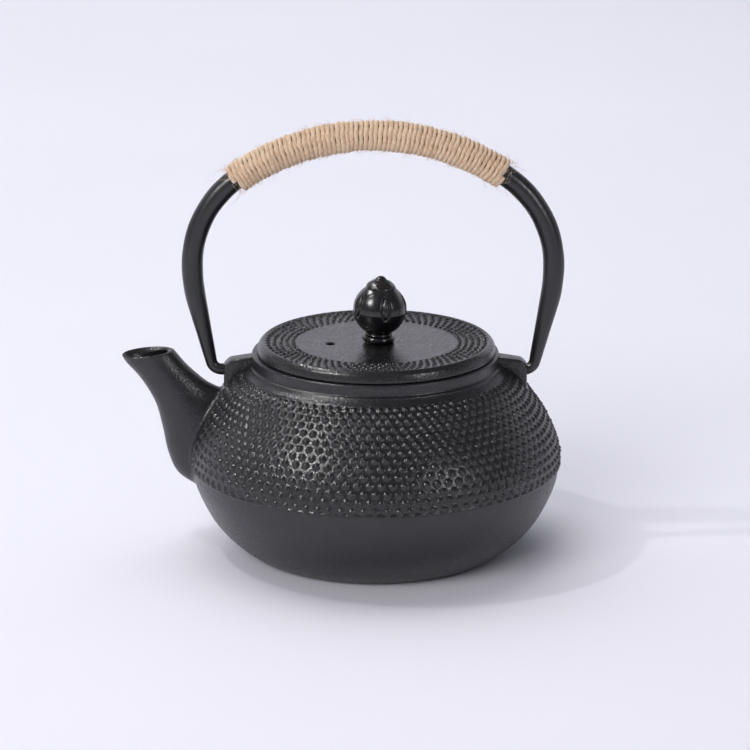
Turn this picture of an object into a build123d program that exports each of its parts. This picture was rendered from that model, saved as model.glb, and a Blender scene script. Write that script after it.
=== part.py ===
"""Cast iron teapot with a hobnail band, a lift-off lid, a folding bail and a steel infuser.

Millimetres. The origin is the centre of the flat base, +Z is up, the spout points to -X and the
bail turns about the X direction through the two lugs.
"""
from math import asin, cos, degrees, hypot, pi, radians, sin, sqrt, tan
import os

from build123d import *

os.makedirs("parts", exist_ok=True)

# ---- driving dimensions ---------------------------------------------------------------------
# pot casting
BELLY_R = 75.0          # outside radius at the widest place
BELLY_Z = 39.0
BAND_STEP = 0.7         # the hobnail band stands out this far over the smooth lower bowl
BAND_Z = 36.6           # lower edge of the hobnail band
BASE_R = 47.0
NECK_R = 49.7           # outside radius of the neck
NECK_Z = 76.8           # where the shoulder meets the neck
RIM_Z = 82.1            # top of the neck
WALL = 3.0
MOUTH_R = 43.2          # inside radius under the ledge
LEDGE_R = 46.0          # inside radius above the ledge
LEDGE_Z = 79.8          # the ledge carries the infuser's flange

# lugs and hinge
LUG_OUT = 61.0          # outer face of each lug
LUG_TOP = 79.0          # at the outer face; the top edge rises a little towards the neck
LUG_TOP_IN = 80.7
LUG_FOOT = 66.0         # inside the shoulder, before the pot is hollowed
LUG_ROUND = 2.0
LUG_THICK = 7.6
PIVOT_Z = 74.7
HOOK_R = 2.3
HOOK_CLEAR = 0.09
HOOK_TIP = 52.0         # the hooks reach in to this distance from the axis
HOLE_DEEP = 51.4        # bottom of each blind hole

# lid
LID_Z = 82.2            # underside of the lid's edge
LID_UNDER_Z = 82.6      # underside of the lid's middle
LID_TOP = 86.2
LID_R = 48.25
SKIRT_R = 39.5
SKIRT_Z = 77.6
SKIRT_THICK = 2.5
BEAD_IN = 44.6          # inner edge of the bead round the lid
PLATEAU_R = 32.8        # plain middle of the lid
DOTS_SINK = 0.7         # the ring of small dots lies this far below both
VENT_AT = (-19.2, -3.5)
VENT_R = 1.75

# knob
COLLAR_R = 6.6
COLLAR_TOP = 89.5
BALL_R = 10.65
BALL_Z = 99.8
CAP_R = 5.9
FINIAL_Z = 113.5
KNOB_FOOT_R = 5.3
STUD_R = 2.5
STUD_IN_KNOB = 8.0
WASHER_R = 6.0
WASHER_THICK = 1.0
PEEN_R = 4.0            # lower end of the stud, spread over the washer
PEEN_TIP_R = 3.0
PEEN_HIGH = 1.6
STUD_CLEAR = 0.05

# bail
TOP_ARC_R = 93.0        # centreline of the grip
TOP_Z = 171.0
GRIP_HALF = 53.5        # the grip's arc ends this far from the middle
LEG_X = 72.3            # centreline of each leg at its widest
LEG_ARC_R = 69.0
LEG_LEAN = 12.5         # degrees from the vertical, where the legs run in towards the lugs
HOOK_BEND_R = 4.2
GRIP_ROD_R = 4.35
TWINE = 1.9             # thickness of the twine wrap over the rod

# infuser
SLEEVE_R = 40.6
SHEET = 0.6
INFUSER_FLOOR = 32.0
FIT = 0.04              # gap between the infuser's pressed sheets
FLANGE_R = 45.5
RING_LOW = 72.0         # lower edge of the ring that grips the sleeve


# ---- pot casting ----------------------------------------------------------------------------
# Shoulder and bowl in one half outline, from the neck down to the base.
SHOULDER = [(54.0, 74.4), (57.9, 72.0), (63.1, 64.9), (68.1, 57.8), (71.9, 50.8), (74.2, 44.5)]
BOWL = [(73.4, 30.0), (70.2, 22.0), (65.6, 14.0), (59.2, 7.0)]


def inward(points, by):
    """Offset a polyline of (r, z) points by a distance towards the axis, point by point."""
    moved = []
    for i, (r, z) in enumerate(points):
        before = points[max(i - 1, 0)]
        after = points[min(i + 1, len(points) - 1)]
        run, rise = after[0] - before[0], after[1] - before[1]
        length = hypot(run, rise)
        moved.append((r + by * rise / length, z - by * run / length))
    return moved


def spout_section(low, high, half_width, wall):
    """Ellipse across the spout from its outer edge point to its inner edge point, in plane Y = 0."""
    span = Vector(high[0] - low[0], 0, high[1] - low[1])
    middle = Vector((low[0] + high[0]) / 2, 0, (low[1] + high[1]) / 2)
    across = span.normalized()
    plane = Plane(origin=middle, x_dir=across, z_dir=across.cross(Vector(0, 1, 0)))
    with BuildSketch(plane) as section:
        Ellipse(span.length / 2 - wall, half_width - wall)
    return section.sketch


def lug_faces(pot):
    """The two flat outer faces of the lugs."""
    return pot.faces().filter_by(Axis.X).filter_by(lambda f: abs(abs(f.center().X) - LUG_OUT) < 0.01)


# Each station: outer edge point, inner edge point, half width in Y.
SPOUT = [
    ((-102.0, 80.6), (-80.9, 82.5), 7.8),
    ((-94.4, 71.0), (-76.6, 77.2), 7.8),
    ((-86.2, 50.5), (-68.2, 69.6), 9.0),
    ((-80.6, 32.0), (-59.5, 65.0), 10.0),
    ((-71.0, 25.1), (-53.0, 59.0), 10.0),
]
SPOUT_WALL = 1.9

with BuildPart() as pot_body:
    with BuildSketch(Plane.XZ):
        with BuildLine():
            Line((0, 0), (BASE_R, 0))
            Spline(
                [(BASE_R, 0), *BOWL[::-1], (BELLY_R - BAND_STEP, BAND_Z)],
                tangents=[(1, 0.25), (0.06, 1)],
            )
            Line((BELLY_R - BAND_STEP, BAND_Z), (BELLY_R, BAND_Z))
            Line((BELLY_R, BAND_Z), (BELLY_R, BELLY_Z))
            Spline(
                [(BELLY_R, BELLY_Z), *SHOULDER[::-1], (NECK_R, NECK_Z)],
                tangents=[(0, 1), (-1, 0.55)],
            )
            Line((NECK_R, NECK_Z), (NECK_R, RIM_Z))
            Line((NECK_R, RIM_Z), (0, RIM_Z))
            Line((0, RIM_Z), (0, 0))
        make_face()
    revolve(axis=Axis.Z)
    # spout, outside
    loft([spout_section(low, high, half_width, 0) for low, high, half_width in SPOUT])
    # lugs
    with BuildSketch(Plane.XZ):
        with BuildLine():
            Polyline(
                (MOUTH_R, LUG_FOOT),
                (LUG_OUT, LUG_FOOT),
                (LUG_OUT, LUG_TOP),
                (NECK_R - 1.5, LUG_TOP_IN),
                (MOUTH_R, LUG_TOP_IN),
                close=True,
            )
        make_face()
        mirror(about=Plane.YZ)
    extrude(amount=LUG_THICK / 2, both=True)
    # round the lugs' standing edges and their top corner
    fillet(lug_faces(pot_body).edges().filter_by(Axis.Z), LUG_ROUND)
    fillet(lug_faces(pot_body).edges().filter_by(Axis.Y).group_by(Axis.Z)[-1], LUG_ROUND * 0.8)
    # hollow
    with BuildSketch(Plane.XZ):
        inner_bowl = inward([(BELLY_R, BELLY_Z), (BELLY_R - BAND_STEP, BAND_Z), *BOWL], WALL)
        inner_shoulder = inward([*SHOULDER, (BELLY_R, BELLY_Z)], WALL)
        with BuildLine():
            Line((0, WALL), (BASE_R, WALL))
            Spline(
                [(BASE_R, WALL), *inner_bowl[:0:-1], (BELLY_R - WALL, BELLY_Z)],
                tangents=[(1, 0.3), (0, 1)],
            )
            Spline(
                [(BELLY_R - WALL, BELLY_Z), *inner_shoulder[-2::-1], (MOUTH_R, NECK_Z - 1.0)],
                tangents=[(0, 1), (-1, 0.3)],
            )
            Line((MOUTH_R, NECK_Z - 1.0), (MOUTH_R, LEDGE_Z))
            Line((MOUTH_R, LEDGE_Z), (LEDGE_R, LEDGE_Z))
            Line((LEDGE_R, LEDGE_Z), (LEDGE_R, RIM_Z + 1))
            Line((LEDGE_R, RIM_Z + 1), (0, RIM_Z + 1))
            Line((0, RIM_Z + 1), (0, WALL))
        make_face()
    revolve(axis=Axis.Z, mode=Mode.SUBTRACT)
    loft(
        [spout_section(low, high, half_width, SPOUT_WALL) for low, high, half_width in SPOUT],
        mode=Mode.SUBTRACT,
    )
    # blind holes for the bail's hooks
    for side in (-1, 1):
        with BuildSketch(Plane(origin=(side * (LUG_OUT + 5), 0, PIVOT_Z), z_dir=(-side, 0, 0))):
            Circle(HOOK_R + HOOK_CLEAR)
        extrude(amount=LUG_OUT + 5 - HOLE_DEEP, mode=Mode.SUBTRACT)

pot_body.part.label = "pot_body"
export_step(pot_body.part, "parts/pot_body.step")


# ---- lid and knob ---------------------------------------------------------------------------
with BuildPart() as lid:
    with BuildSketch(Plane.XZ):
        with BuildLine():
            Polyline(
                (STUD_R + STUD_CLEAR, LID_UNDER_Z),
                (SKIRT_R - SKIRT_THICK, LID_UNDER_Z),
                (SKIRT_R - SKIRT_THICK, SKIRT_Z),
                (SKIRT_R, SKIRT_Z),
                (SKIRT_R, LID_Z),
                (LID_R, LID_Z),
            )
            Spline(
                (LID_R, LID_Z),
                (LID_R - 0.35, LID_Z + 2.4),
                (LID_R - 2.4, LID_TOP),
                tangents=[(0.1, 1), (-1, 0)],
            )
            Polyline(
                (LID_R - 2.4, LID_TOP),
                (BEAD_IN + 0.4, LID_TOP),
                (BEAD_IN, LID_TOP - DOTS_SINK),
                (PLATEAU_R, LID_TOP - DOTS_SINK),
                (PLATEAU_R - 0.4, LID_TOP),
                (STUD_R + STUD_CLEAR, LID_TOP),
                (STUD_R + STUD_CLEAR, LID_UNDER_Z),
            )
        make_face()
    revolve(axis=Axis.Z)
    with Locations((*VENT_AT, LID_TOP)):
        Hole(VENT_R)

lid.part.label = "lid"
export_step(lid.part, "parts/lid.step")

with BuildPart() as knob_collar:
    with BuildSketch(Plane.XY.offset(LID_TOP + 0.02)):
        Circle(COLLAR_R)
        Circle(STUD_R + STUD_CLEAR, mode=Mode.SUBTRACT)
    extrude(amount=COLLAR_TOP - LID_TOP - 0.04)
    rims = knob_collar.edges().filter_by(GeomType.CIRCLE)
    fillet(rims.filter_by(lambda e: e.radius > COLLAR_R - 0.1), 1.0)

knob_collar.part.label = "knob_collar"
export_step(knob_collar.part, "parts/knob_collar.step")

with BuildPart() as lid_knob:
    with BuildSketch(Plane.XZ):
        with BuildLine():
            Line((0, COLLAR_TOP), (KNOB_FOOT_R, COLLAR_TOP))
            foot_lift = sqrt(BALL_R**2 - KNOB_FOOT_R**2)
            cap_lift = sqrt(BALL_R**2 - (CAP_R - 0.4) ** 2)
            ThreePointArc((KNOB_FOOT_R, BALL_Z - foot_lift), (BALL_R, BALL_Z), (CAP_R - 0.4, BALL_Z + cap_lift))
            Line((KNOB_FOOT_R, COLLAR_TOP), (KNOB_FOOT_R, BALL_Z - foot_lift))
            Line((CAP_R - 0.4, BALL_Z + cap_lift), (CAP_R, BALL_Z + cap_lift + 0.3))
            Spline(
                (CAP_R, BALL_Z + cap_lift + 0.3),
                (3.2, FINIAL_Z - 3.4),
                (1.5, FINIAL_Z - 1.5),
                (0, FINIAL_Z),
                tangents=[(-0.3, 1), (-1, 0.3)],
            )
            Line((0, FINIAL_Z), (0, COLLAR_TOP))
        make_face()
    revolve(axis=Axis.Z)
    with BuildSketch(Plane.XY.offset(COLLAR_TOP)):
        Circle(STUD_R + STUD_CLEAR)
    extrude(amount=STUD_IN_KNOB, mode=Mode.SUBTRACT)

lid_knob.part.label = "lid_knob"
export_step(lid_knob.part, "parts/lid_knob.step")

# The stud runs from the knob through the lid and its lower end is peened over the washer.
WASHER_Z = LID_UNDER_Z - WASHER_THICK
stud_top = COLLAR_TOP + STUD_IN_KNOB - 0.3
with BuildPart() as knob_stud:
    with BuildSketch(Plane.XZ):
        with BuildLine():
            Polyline(
                (0, WASHER_Z - PEEN_HIGH),
                (PEEN_TIP_R, WASHER_Z - PEEN_HIGH),
                (PEEN_R, WASHER_Z - STUD_CLEAR),
                (STUD_R, WASHER_Z - STUD_CLEAR),
                (STUD_R, stud_top),
                (0, stud_top),
                close=True,
            )
        make_face()
    revolve(axis=Axis.Z)

knob_stud.part.label = "knob_stud"
export_step(knob_stud.part, "parts/knob_stud.step")

with BuildPart() as knob_washer:
    with BuildSketch(Plane.XY.offset(WASHER_Z)):
        Circle(WASHER_R)
        Circle(STUD_R + STUD_CLEAR, mode=Mode.SUBTRACT)
    extrude(amount=WASHER_THICK - 0.03)

knob_washer.part.label = "knob_washer"
export_step(knob_washer.part, "parts/knob_washer.step")


# ---- bail -----------------------------------------------------------------------------------
# Centreline of the right half, in plane Y = 0: grip arc, shoulder arc, leg arc, straight leg,
# bend and hook. Each stretch is a function of the angle it has turned, so the taper can follow.
grip_turn = asin(GRIP_HALF / TOP_ARC_R)
grip_end = (GRIP_HALF, TOP_Z - TOP_ARC_R * (1 - cos(grip_turn)))
corner_r = (LEG_X - GRIP_HALF) / (1 - sin(grip_turn))
leg_top = (LEG_X, grip_end[1] - corner_r * cos(grip_turn))
lean = radians(LEG_LEAN)
leg_low = (LEG_X - LEG_ARC_R * (1 - cos(lean)), leg_top[1] - LEG_ARC_R * sin(lean))
knee_x = leg_low[0] - (leg_low[1] - PIVOT_Z) * tan(lean)
bend_run = HOOK_BEND_R * tan((pi / 2 - lean) / 2)
bend_top = (knee_x + bend_run * sin(lean), PIVOT_Z + bend_run * cos(lean))
bend_end = (knee_x - bend_run, PIVOT_Z)
TAPER = [(0.0, GRIP_ROD_R), (0.50, 4.25), (0.64, 4.18), (0.75, 3.65), (0.90, 2.87), (1.0, HOOK_R)]


def rod_radius(u):
    """Radius of the tapering leg at a fraction of the way from the grip's end to the bend."""
    for (u0, r0), (u1, r1) in zip(TAPER, TAPER[1:]):
        if u <= u1:
            return r0 + (r1 - r0) * (u - u0) / (u1 - u0)
    return HOOK_R


def disc(place, along, radius):
    """Round section of the bail, square to its centreline in plane Y = 0."""
    plane = Plane(origin=(place.X, 0, place.Z), x_dir=(0, 1, 0), z_dir=(along.X, 0, along.Z))
    with BuildSketch(plane) as section:
        Circle(radius)
    return section.sketch


with BuildLine(Plane.XZ) as grip_line:
    CenterArc((0, TOP_Z - TOP_ARC_R), TOP_ARC_R, 90 - degrees(grip_turn), 2 * degrees(grip_turn))

with BuildLine(Plane.XZ) as leg_line:
    CenterArc(
        (LEG_X - corner_r, leg_top[1]), corner_r, 90 - degrees(grip_turn), degrees(grip_turn) - 90
    )
    CenterArc((LEG_X - LEG_ARC_R, leg_top[1]), LEG_ARC_R, 0, -LEG_LEAN)
    Line(leg_low, bend_top)

with BuildLine(Plane.XZ) as hook_line:
    TangentArc(bend_top, bend_end, tangent=(-sin(lean), -cos(lean)))
    Line(bend_end, (HOOK_TIP, PIVOT_Z))

LEG_SECTIONS = 10
leg = leg_line.wires()[0]
leg_discs = []
for i in range(LEG_SECTIONS + 1):
    u = i / LEG_SECTIONS
    leg_discs.append(disc(leg.position_at(u), leg.tangent_at(u), rod_radius(u)))

with BuildPart() as bail_rod:
    grip = grip_line.wires()[0]
    sweep(disc(grip.position_at(0), grip.tangent_at(0), GRIP_ROD_R), path=grip)
    loft(leg_discs)
    hook = hook_line.wires()[0]
    sweep(disc(hook.position_at(0), hook.tangent_at(0), HOOK_R), path=hook)
    mirror(about=Plane.YZ)

bail_rod.part.label = "bail_rod"
export_step(bail_rod.part, "parts/bail_rod.step")

# Twine wrap as one sleeve over the grip, drawn in a little at both ends.
WRAP = [(0.0, 1.4), (0.03, 1.75), (0.10, TWINE), (0.5, TWINE), (0.90, TWINE), (0.97, 1.75), (1.0, 1.4)]
with BuildPart() as handle_wrap:
    loft([disc(grip.position_at(u), grip.tangent_at(u), GRIP_ROD_R + thick) for u, thick in WRAP])
    sweep(disc(grip.position_at(0), grip.tangent_at(0), GRIP_ROD_R + 0.03), path=grip, mode=Mode.SUBTRACT)

handle_wrap.part.label = "handle_wrap"
export_step(handle_wrap.part, "parts/handle_wrap.step")


# ---- infuser --------------------------------------------------------------------------------
def turned(points):
    """Solid of revolution about Z from a closed (r, z) outline."""
    with BuildPart() as solid:
        with BuildSketch(Plane.XZ):
            with BuildLine():
                Polyline(*points, close=True)
            make_face()
        revolve(axis=Axis.Z)
    return solid.part


flange_z = LEDGE_Z + 0.05
ring_in = SLEEVE_R + FIT
ring_out = ring_in + SHEET
wall_in = SLEEVE_R - SHEET
band_top = INFUSER_FLOOR + 4.0
base_z = INFUSER_FLOOR + SHEET + FIT

infuser_parts = {
    "infuser_rim": turned([
        (ring_in, RING_LOW),
        (ring_out, RING_LOW),
        (ring_out, flange_z),
        (FLANGE_R, flange_z),
        (FLANGE_R, flange_z + SHEET),
        (wall_in, flange_z + SHEET),
        (wall_in, flange_z),
        (ring_in, flange_z),
    ]),
    "infuser_wall": turned([
        (wall_in, base_z),
        (SLEEVE_R, base_z),
        (SLEEVE_R, flange_z - FIT),
        (wall_in, flange_z - FIT),
    ]),
    "infuser_band": turned([
        (wall_in - 2.0, INFUSER_FLOOR),
        (ring_out, INFUSER_FLOOR),
        (ring_out, band_top),
        (ring_in, band_top),
        (ring_in, INFUSER_FLOOR + SHEET),
        (wall_in - 2.0, INFUSER_FLOOR + SHEET),
    ]),
    "infuser_base": turned([
        (0, base_z),
        (wall_in - FIT, base_z),
        (wall_in - FIT, base_z + SHEET),
        (0, base_z + SHEET),
    ]),
}
for name, solid in infuser_parts.items():
    solid.label = name
    export_step(solid, f"parts/{name}.step")
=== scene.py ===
"""Looks of the cast iron teapot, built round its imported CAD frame. Metres, +Z up, spout to -X."""
import math

import bmesh
import bpy
import numpy as np
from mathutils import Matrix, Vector
from mathutils.geometry import delaunay_2d_cdt


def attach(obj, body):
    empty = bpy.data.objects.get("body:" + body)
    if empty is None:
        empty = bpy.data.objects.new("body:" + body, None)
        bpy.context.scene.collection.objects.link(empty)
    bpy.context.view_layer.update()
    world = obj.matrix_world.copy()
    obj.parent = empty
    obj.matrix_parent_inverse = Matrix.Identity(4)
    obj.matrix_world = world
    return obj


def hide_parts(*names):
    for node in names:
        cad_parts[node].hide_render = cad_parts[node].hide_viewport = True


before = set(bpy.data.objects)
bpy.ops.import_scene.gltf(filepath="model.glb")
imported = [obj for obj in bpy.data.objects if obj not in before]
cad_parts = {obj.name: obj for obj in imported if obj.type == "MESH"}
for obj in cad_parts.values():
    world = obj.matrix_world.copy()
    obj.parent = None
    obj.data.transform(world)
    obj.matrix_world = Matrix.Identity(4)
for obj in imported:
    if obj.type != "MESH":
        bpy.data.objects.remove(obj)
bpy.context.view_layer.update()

MM = 0.001
TAU = 2 * math.pi
rng = np.random.default_rng(7)


# ---- mesh helpers ----
def put(name, data):
    """New object in the scene."""
    obj = bpy.data.objects.new(name, data)
    bpy.context.scene.collection.objects.link(obj)
    return obj


def new_object(name, points, faces, smooth=True):
    """Mesh object from points in millimetres and a list of faces."""
    mesh = bpy.data.meshes.new(name)
    mesh.from_pydata((np.asarray(points) * MM).tolist(), [], faces)
    mesh.validate()
    mesh.update()
    if smooth:
        mesh.shade_smooth()
    return put(name, mesh)


def grid_faces(rows, columns, closed=True, flip=False):
    """Quads of a grid of points stored row by row; closed joins the last column to the first."""
    faces = []
    last = columns if closed else columns - 1
    for i in range(rows - 1):
        for j in range(last):
            k = (j + 1) % columns
            quad = (i * columns + j, i * columns + k, (i + 1) * columns + k, (i + 1) * columns + j)
            faces.append(quad[::-1] if flip else quad)
    return faces


def turns(count):
    """Angles of equal steps once round a circle."""
    return np.arange(count) * TAU / count


def unit_rows(vectors):
    """The vectors, each scaled to length 1."""
    return vectors / np.linalg.norm(vectors, axis=1, keepdims=True)


def length_along(line):
    """Distance of each point from the start of its polyline."""
    return np.concatenate([[0], np.cumsum(np.linalg.norm(np.diff(line, axis=0), axis=1))])


def points_at(line, where):
    """Points of a polyline at distances from its start."""
    length = length_along(line)
    return np.stack([np.interp(where, length, line[:, k]) for k in range(line.shape[1])], axis=1)


def spin(outline, columns):
    """Points of a surface of revolution: one row for each (r, z) of the outline."""
    angle = turns(columns)
    outline = np.asarray(outline, float)
    x = outline[:, :1] * np.cos(angle)
    y = outline[:, :1] * np.sin(angle)
    z = np.repeat(outline[:, 1:2], columns, axis=1)
    return np.stack([x, y, z], axis=-1).reshape(-1, 3)


class Pile:
    """Collects the point grids of one piece, so that they become a single mesh."""

    def __init__(self):
        self.points = []
        self.faces = []
        self.count = 0

    def add(self, points, faces):
        points = np.asarray(points, float).reshape(-1, 3)
        self.points.append(points)
        self.faces.extend(tuple(self.count + q for q in face) for face in faces)
        self.count += len(points)

    def add_grid(self, points, rows, columns, closed=True, flip=False):
        self.add(points, grid_faces(rows, columns, closed, flip))

    def add_spin(self, outline, columns, flip=False):
        self.add_grid(spin(outline, columns), len(outline), columns, True, flip)

    def build(self, name):
        return new_object(name, np.concatenate(self.points), self.faces)


def arc(centre, radius, start, end, steps):
    """Points (r, z) of an arc, angles in degrees."""
    turn = np.radians(np.linspace(start, end, steps))
    return [(centre[0] + radius * math.cos(a), centre[1] + radius * math.sin(a)) for a in turn]


def smooth_line(points, per_span):
    """Catmull-Rom curve through points of any dimension, per_span steps between neighbours."""
    p = np.asarray(points, float)
    p = np.vstack([2 * p[0] - p[1], p, 2 * p[-1] - p[-2]])
    out = []
    for i in range(1, len(p) - 2):
        for t in np.arange(per_span) / per_span:
            out.append(catmull(p[i - 1], p[i], p[i + 1], p[i + 2], t))
    out.append(p[-2])
    return np.array(out)


def catmull(a, b, c, d, t):
    """Centripetal spline between b and c."""
    knots = [0.0]
    for u, v in ((a, b), (b, c), (c, d)):
        knots.append(knots[-1] + max(np.linalg.norm(v - u), 1e-9) ** 0.5)
    t0, t1, t2, t3 = knots
    t = t1 + t * (t2 - t1)
    a1 = (t1 - t) / (t1 - t0) * a + (t - t0) / (t1 - t0) * b
    a2 = (t2 - t) / (t2 - t1) * b + (t - t1) / (t2 - t1) * c
    a3 = (t3 - t) / (t3 - t2) * c + (t - t2) / (t3 - t2) * d
    b1 = (t2 - t) / (t2 - t0) * a1 + (t - t0) / (t2 - t0) * a2
    b2 = (t3 - t) / (t3 - t1) * a2 + (t - t1) / (t3 - t1) * a3
    return (t2 - t) / (t2 - t1) * b1 + (t - t1) / (t2 - t1) * b2


def resample(line, step):
    """Points evenly spaced along a polyline, about step apart."""
    total = length_along(line)[-1]
    return points_at(line, np.linspace(0, total, round(total / step) + 1))


def normals_2d(line):
    """Normals of a flat line, on its left: outwards for an (r, z) outline that runs downwards."""
    run = unit_rows(np.gradient(line, axis=0))
    return np.stack([-run[:, 1], run[:, 0]], axis=1)


def hash_noise(*keys):
    """Repeatable number from 0 to 1 for whole-number keys."""
    value = 0.0
    for i, k in enumerate(keys):
        value = value + np.asarray(k, float) * (12.9898 + 65.233 * i)
    return np.mod(np.sin(value) * 43758.5453, 1.0)


def soft_step(low, high, value):
    """Smooth rise from 0 at low to 1 at high."""
    t = np.clip((value - low) / (high - low), 0, 1)
    return t * t * (3 - 2 * t)


# ---- dimensions, millimetres, as in the CAD model ----
NECK_R, RIM_Z = 49.7, 82.1
LEDGE_R, LEDGE_Z, MOUTH_R = 46.0, 79.8, 43.2
WALL = 3.0
BAND_LINE = [(52.6, 75.25), (54.0, 74.4), (57.9, 72.0), (63.1, 64.9), (68.1, 57.8), (71.9, 50.8),
             (74.2, 44.5), (75.0, 39.5), (75.0, 36.6)]
BOWL_LINE = [(74.3, 37.2), (74.15, 34.5), (73.4, 30.0), (70.2, 22.0), (65.6, 14.0), (59.2, 7.0),
             (54.0, 2.8), (50.2, 0.7), (47.0, 0.0)]
# low x and z, high x and z, half width
SPOUT_SECTIONS = [(-102.0, 80.6, -80.9, 82.5, 7.8), (-100.6, 78.2, -79.6, 80.9, 7.6),
                  (-94.6, 71.2, -76.4, 77.0, 7.7), (-88.8, 61.0, -72.0, 72.8, 8.3),
                  (-86.0, 50.3, -67.8, 69.4, 9.0), (-84.0, 40.2, -63.5, 67.2, 9.6),
                  (-80.2, 31.6, -58.5, 64.5, 10.0), (-71.0, 25.1, -53.0, 59.0, 10.0)]
LUG_THICK, LUG_OUT, PIVOT_Z = 7.6, 61.0, 74.7
HOOK_R, HOLE_R, HOLE_DEEP = 2.3, 2.39, 51.4
DRILL_SIDES, DRILL_LONG = 40, 20.0


# ---- pot casting ----
BAND_STEP, BOWL_STEP = 0.41, 1.2
BAND_FOOT_Z = 36.5      # the bowl's outline counts as the outside below this height
band = resample(smooth_line(BAND_LINE, 10), BAND_STEP)
bowl = resample(smooth_line(BOWL_LINE, 10), BOWL_STEP)
outer_r, outer_z = np.vstack([band, bowl[bowl[:, 1] < BAND_FOOT_Z]])[::-1].T


def body_radius(z):
    """Radius of the body, without its hobnails, at a height."""
    return np.interp(z, outer_z, outer_r)


def off_body(point):
    """Distance outside the body, measured level."""
    return math.hypot(point[0], point[1]) - float(body_radius(point[2]))


SPOUT_SIDES, SPOUT_ROWS = 72, 12
SPOUT_WALL, LIP_SHIFT = 1.9, -0.95
EVEN_ROWS = 60
FILLET, FILLET_STEPS = 2.0, 8


def spout_surface():
    """Rows of points down the outside of the spout, from the mouth to inside the bowl."""
    return np.array([spout_ring(section) for section in smooth_line(SPOUT_SECTIONS, SPOUT_ROWS)])


def spout_ring(section, wall=0.0, shift=0.0):
    """Oval through a section's low and high points, inside it by a wall and moved along X."""
    lx, lz, hx, hz, half = section
    turn = turns(SPOUT_SIDES)
    cx, cz, ax, az = (lx + hx) / 2, (lz + hz) / 2, (hx - lx) / 2, (hz - lz) / 2
    near = 1 - wall / math.hypot(ax, az)
    return np.stack([cx + shift + ax * near * np.cos(turn), (half - wall) * np.sin(turn),
                     cz + az * near * np.cos(turn)], axis=1)


def spout_root(rows):
    """For each side line of the spout: its points outside the bowl, and where it meets the bowl."""
    skirts = []
    joins = []
    for j in range(SPOUT_SIDES):
        line = rows[:, j]
        outside = np.array([off_body(p) for p in line])
        cross = int(np.argmax(outside < 0))
        share = outside[cross - 1] / (outside[cross - 1] - outside[cross])
        join = line[cross - 1] + share * (line[cross] - line[cross - 1])
        joins.append(join)
        skirts.append(line[:cross])
    return skirts, np.array(joins)


spout_rows = spout_surface()
spout_lines, junction = spout_root(spout_rows)


def on_body(point, lift):
    """The point moved level onto the body, lift outside it."""
    flat = math.hypot(point[0], point[1])
    scale = (float(body_radius(point[2])) + lift) / flat
    return np.array([point[0] * scale, point[1] * scale, point[2]])


def spout_with_fillet():
    """Outside of the spout as one grid: even rows down to the fillet, then the fillet."""
    columns = []
    middle = junction.mean(axis=0)
    for j in range(SPOUT_SIDES):
        join = junction[j]
        line = np.vstack([spout_lines[j], join])
        stop = length_along(line)[-1] - FILLET
        body = points_at(line, stop * np.linspace(0, 1, EVEN_ROWS))
        along = junction[(j + 1) % SPOUT_SIDES] - junction[j - 1]
        radial = np.array([join[0], join[1], 0.0]) / math.hypot(join[0], join[1])
        slope = (float(body_radius(join[2] + 1)) - float(body_radius(join[2] - 1))) / 2
        normal = np.array([radial[0], radial[1], -slope])
        normal /= np.linalg.norm(normal)
        away = np.cross(along / np.linalg.norm(along), normal)
        if np.dot(away, join - middle) < 0:
            away = -away
        foot = on_body(join + away * FILLET, -0.06)
        blend = []
        for u in np.linspace(0, 1, FILLET_STEPS)[1:]:
            point = (1 - u) ** 2 * body[-1] + 2 * u * (1 - u) * join + u * u * foot
            blend.append(point + normal * 0.16 * math.sin(math.pi * u) ** 2 * u)
        columns.append(np.vstack([body, blend]))
    return np.stack(columns, axis=1)


def spout_mouth(pile):
    """Rounded lip and the channel inside, down into the bowl."""
    turn = turns(SPOUT_SIDES)
    lx, lz, hx, hz, half = SPOUT_SECTIONS[0]
    centre = np.array([(lx + hx) / 2, 0, (lz + hz) / 2])
    across = np.array([(hx - lx) / 2, 0, (hz - lz) / 2])
    up = np.array([-across[2], 0, across[0]]) / np.linalg.norm(across)
    rows = []
    for k in range(9):
        t = k / 8
        shift = LIP_SHIFT * t
        long_r = 1 - (1.75 * t) / np.linalg.norm(across)
        lift = 0.45 * math.sin(math.pi * t) ** 0.8 - 0.5 * t * t
        ring = (centre + across * (long_r * np.cos(turn))[:, None] + up * lift
                + np.array([shift, 0, 0]) + np.outer((half - 1.5 * t) * np.sin(turn), (0, 1, 0)))
        rows.append(ring)
    for i, section in enumerate(smooth_line(SPOUT_SECTIONS, 5)[3:]):
        rows.append(spout_ring(section, SPOUT_WALL, LIP_SHIFT * max(0.0, 1 - i / 10)))
    rows = np.array(rows)
    pile.add_grid(rows, len(rows), SPOUT_SIDES, flip=True)


def inside_junction(y, z, margin):
    """True where a point of the -X side lies inside the spout's joint line, seen along X."""
    centre = junction[:, 1:].mean(axis=0)
    ring = junction[:, 1:] - centre
    reach = np.linalg.norm(ring, axis=1)
    ring = ring * ((reach - margin) / reach)[:, None] + centre
    inside = np.zeros(np.shape(y), bool)
    for a, b in zip(ring, np.roll(ring, -1, axis=0)):
        crosses = (a[1] > z) != (b[1] > z)
        edge = a[0] + (z - a[1]) / (b[1] - a[1] + 1e-12) * (b[0] - a[0])
        inside ^= crosses & (y < edge)
    return inside


def gap_to_junction(x, y, z):
    """Distance from points of the body to the spout's joint line; 0 inside it."""
    near = np.full(np.shape(y), 1e3)
    for p in junction:
        near = np.minimum(near, np.sqrt((x - p[0]) ** 2 + (y - p[1]) ** 2 + (z - p[2]) ** 2))
    near[inside_junction(y, z, 0.0) & (x < 0)] = 0
    return near


DOTS_ROUND = 102
CELLS_PER_DOT = 14
DOT_ROWS = 14
FIRST_ROW, LAST_ROW = 2.4, 44.7
DOT_DEPTH = 0.98
GROUND = 0.6


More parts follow.
